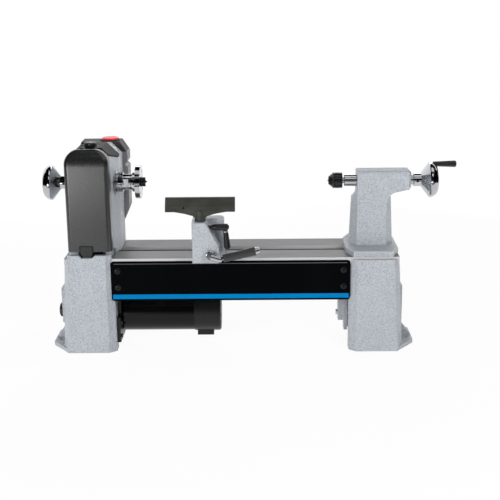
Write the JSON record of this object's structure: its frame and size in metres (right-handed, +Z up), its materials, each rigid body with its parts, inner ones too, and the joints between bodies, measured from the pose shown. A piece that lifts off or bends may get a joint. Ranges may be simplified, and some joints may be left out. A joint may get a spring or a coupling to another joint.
{
  "type": "midi wood lathe",
  "caption": "Bench-top wood lathe: cast legs and bed, belt-driven headstock spindle, sliding tool rest on a banjo, tailstock with screw-fed quill and live centre.",
  "frame": {"origin": "Middle of the four bench bolt holes, on the bench plane; the spindle axis is straight above the X axis.", "axes": "+X along the bed from headstock to tailstock, +Y away from the turner, +Z up."},
  "size_m": [0.933, 0.2715, 0.4753],
  "materials": {
    "cast_paint": "light grey hammertone paint",
    "ground_iron": "ground ways",
    "panel_paint": "gloss black paint",
    "stripe_blue": "blue stripe",
    "black_steel": "black",
    "bright_chrome": "polished chrome",
    "bare_steel": "machined steel",
    "pulley_alloy": "turned aluminium",
    "clamp_iron": "raw casting",
    "rest_iron": "dark cast iron",
    "belt_rubber": "ribbed belt",
    "door_plastic": "satin moulded",
    "grip_plastic": "black moulded",
    "grey_plastic": "dark grey moulded",
    "red_plastic": "red moulded",
    "board": "circuit board",
    "magnet": "ferrite and bearing steel"
  },
  "bodies": {
    "frame": {"bed": "ground_iron", "left_leg": "cast_paint", "right_leg": "cast_paint", "frame_bolts": "bare_steel", "front_panel": "panel_paint", "panel_stripe": "stripe_blue", "panel_screws": "black_steel", "headstock": "cast_paint", "bearing_cap": "bare_steel", "bearing_outer_rings": "bare_steel", "bearing_seals": "belt_rubber", "motor_plate": "black_steel", "motor_bell": "black_steel", "motor_can": "black_steel", "motor_cap": "black_steel", "motor_magnets": "magnet", "motor_bearings": "magnet", "motor_screws": "bare_steel", "drive_belt": "belt_rubber", "door_hinge_pins": "bare_steel", "control_housing": "grey_plastic", "control_box": "grey_plastic", "controller_board": "board", "cord_gland": "grip_plastic", "side_door_pin": "bare_steel"},
    "spindle": {"spindle": "bright_chrome", "spindle_pulley": "pulley_alloy", "bearing_inner_rings": "bare_steel", "faceplate": "bright_chrome", "spur_centre": "black_steel", "spindle_handwheel": "bright_chrome"},
    "motor_rotor": {"motor_rotor": "bare_steel", "motor_pulley": "pulley_alloy"},
    "belt_door": {"belt_door": "door_plastic", "door_latch": "door_plastic"},
    "side_door": {"side_door": "cast_paint"},
    "side_door_knob": {"side_door_knob": "grip_plastic"},
    "speed_knob": {"speed_knob": "grip_plastic"},
    "stop_button": {"stop_button": "red_plastic"},
    "direction_switch": {"direction_switch": "grip_plastic"},
    "banjo_clamp": {"banjo_clamp_plate": "clamp_iron"},
    "banjo_stud": {"banjo_clamp_stud": "bare_steel"},
    "banjo": {"banjo": "cast_paint"},
    "banjo_lever": {"banjo_lever": "bright_chrome", "banjo_lever_grip": "grip_plastic"},
    "rest_post": {"rest_post": "bare_steel"},
    "tool_rest": {"tool_rest": "rest_iron"},
    "rest_lock": {"rest_lock_handle": "grip_plastic"},
    "tailstock": {"tailstock": "cast_paint", "tail_clamp_plate": "clamp_iron", "tail_clamp_stud": "bare_steel"},
    "tail_screw": {"leadscrew": "bare_steel", "tail_handwheel": "bright_chrome", "crank_pin": "bare_steel"},
    "quill": {"quill": "bare_steel", "live_centre_shank": "bare_steel"},
    "live_centre": {"live_centre": "black_steel"},
    "crank_handle": {"crank_handle": "grip_plastic"},
    "tail_clamp_lever": {"tail_clamp_lever": "grip_plastic"},
    "quill_lock": {"quill_lock_handle": "grip_plastic"}
  },
  "joints": [
    {"name": "spindle_spin", "type": "hinge", "parent": "frame", "child": "spindle", "pos_m": [0, 0, 0.37875], "axis": [1, 0, 0], "continuous": true},
    {"name": "motor_spin", "type": "hinge", "parent": "frame", "child": "motor_rotor", "pos_m": [0, 0, 0.07], "axis": [1, 0, 0], "continuous": true},
    {"name": "belt_door_swing", "type": "hinge", "parent": "frame", "child": "belt_door", "pos_m": [0, -0.063, 0.457], "axis": [-1, 0, 0], "range_deg": [0, 100]},
    {"name": "side_door_swing", "type": "hinge", "parent": "frame", "child": "side_door", "pos_m": [-0.3908, 0.05, 0.1], "axis": [0, 0, -1], "range_deg": [0, 110]},
    {"name": "side_knob_turn", "type": "hinge", "parent": "side_door", "child": "side_door_knob", "pos_m": [-0.39, -0.034, 0.086], "axis": [1, 0, 0], "range_deg": [0, 90]},
    {"name": "speed_knob_turn", "type": "hinge", "parent": "frame", "child": "speed_knob", "pos_m": [-0.312, -0.028, 0.466], "axis": [0, 0, 1], "range_deg": [-135, 135]},
    {"name": "stop_button_press", "type": "slide", "parent": "frame", "child": "stop_button", "axis": [0, 0, 1], "range_m": [-0.003, 0], "stiffness_N_per_m": 900},
    {"name": "direction_switch_rock", "type": "hinge", "parent": "frame", "child": "direction_switch", "pos_m": [-0.333, -0.008, 0.465], "axis": [1, 0, 0], "range_deg": [-8, 8]},
    {"name": "banjo_slide", "type": "slide", "parent": "frame", "child": "banjo_clamp", "axis": [1, 0, 0], "range_m": [-0.1, 0.22]},
    {"name": "banjo_swivel", "type": "hinge", "parent": "banjo_clamp", "child": "banjo_stud", "pos_m": [-0.0505, 0, 0.2], "axis": [0, 0, -1], "range_deg": [-25, 25]},
    {"name": "banjo_reach", "type": "slide", "parent": "banjo_stud", "child": "banjo", "axis": [0, 1, 0], "range_m": [-0.036, 0.022]},
    {"name": "banjo_lever_turn", "type": "hinge", "parent": "banjo", "child": "banjo_lever", "pos_m": [-0.044, -0.134, 0.239], "axis": [0, -1, 0], "range_deg": [-60, 70]},
    {"name": "rest_post_lift", "type": "slide", "parent": "banjo", "child": "rest_post", "axis": [0, 0, 1], "range_m": [0, 0.035]},
    {"name": "tool_rest_swivel", "type": "hinge", "parent": "rest_post", "child": "tool_rest", "pos_m": [-0.0665, -0.104, 0.32], "axis": [0, 0, 1], "range_deg": [-90, 90]},
    {"name": "rest_lock_turn", "type": "hinge", "parent": "banjo", "child": "rest_lock", "pos_m": [-0.04, -0.104, 0.298], "axis": [1, 0, 0], "range_deg": [-100, 15]},
    {"name": "tail_slide", "type": "slide", "parent": "frame", "child": "tailstock", "axis": [1, 0, 0], "range_m": [-0.25, 0]},
    {"name": "tail_wheel_turn", "type": "hinge", "parent": "tailstock", "child": "tail_screw", "pos_m": [0.41, 0, 0.37875], "axis": [1, 0, 0], "range_deg": [-2430, 2142]},
    {"name": "quill_travel", "type": "slide", "parent": "tailstock", "child": "quill", "axis": [1, 0, 0], "range_m": [-0.027, 0.024]},
    {"name": "live_centre_spin", "type": "hinge", "parent": "quill", "child": "live_centre", "pos_m": [0.24, 0, 0.37875], "axis": [1, 0, 0], "continuous": true},
    {"name": "crank_handle_spin", "type": "hinge", "parent": "tail_screw", "child": "crank_handle", "pos_m": [0.48, 0, 0.41475], "axis": [1, 0, 0], "continuous": true},
    {"name": "tail_clamp_turn", "type": "hinge", "parent": "tailstock", "child": "tail_clamp_lever", "pos_m": [0.317, 0.03, 0.262], "axis": [0, -1, 0], "range_deg": [0, 80]},
    {"name": "quill_lock_turn", "type": "hinge", "parent": "tailstock", "child": "quill_lock", "pos_m": [0.335, 0.03, 0.37875], "axis": [0, -1, 0], "range_deg": [0, 90]}
  ],
  "couplings": [
    {"joint": "motor_spin", "follows": "spindle_spin", "ratio": 1},
    {"joint": "quill_travel", "follows": "tail_wheel_turn", "m_per_rad": 0.00063662}
  ]
}
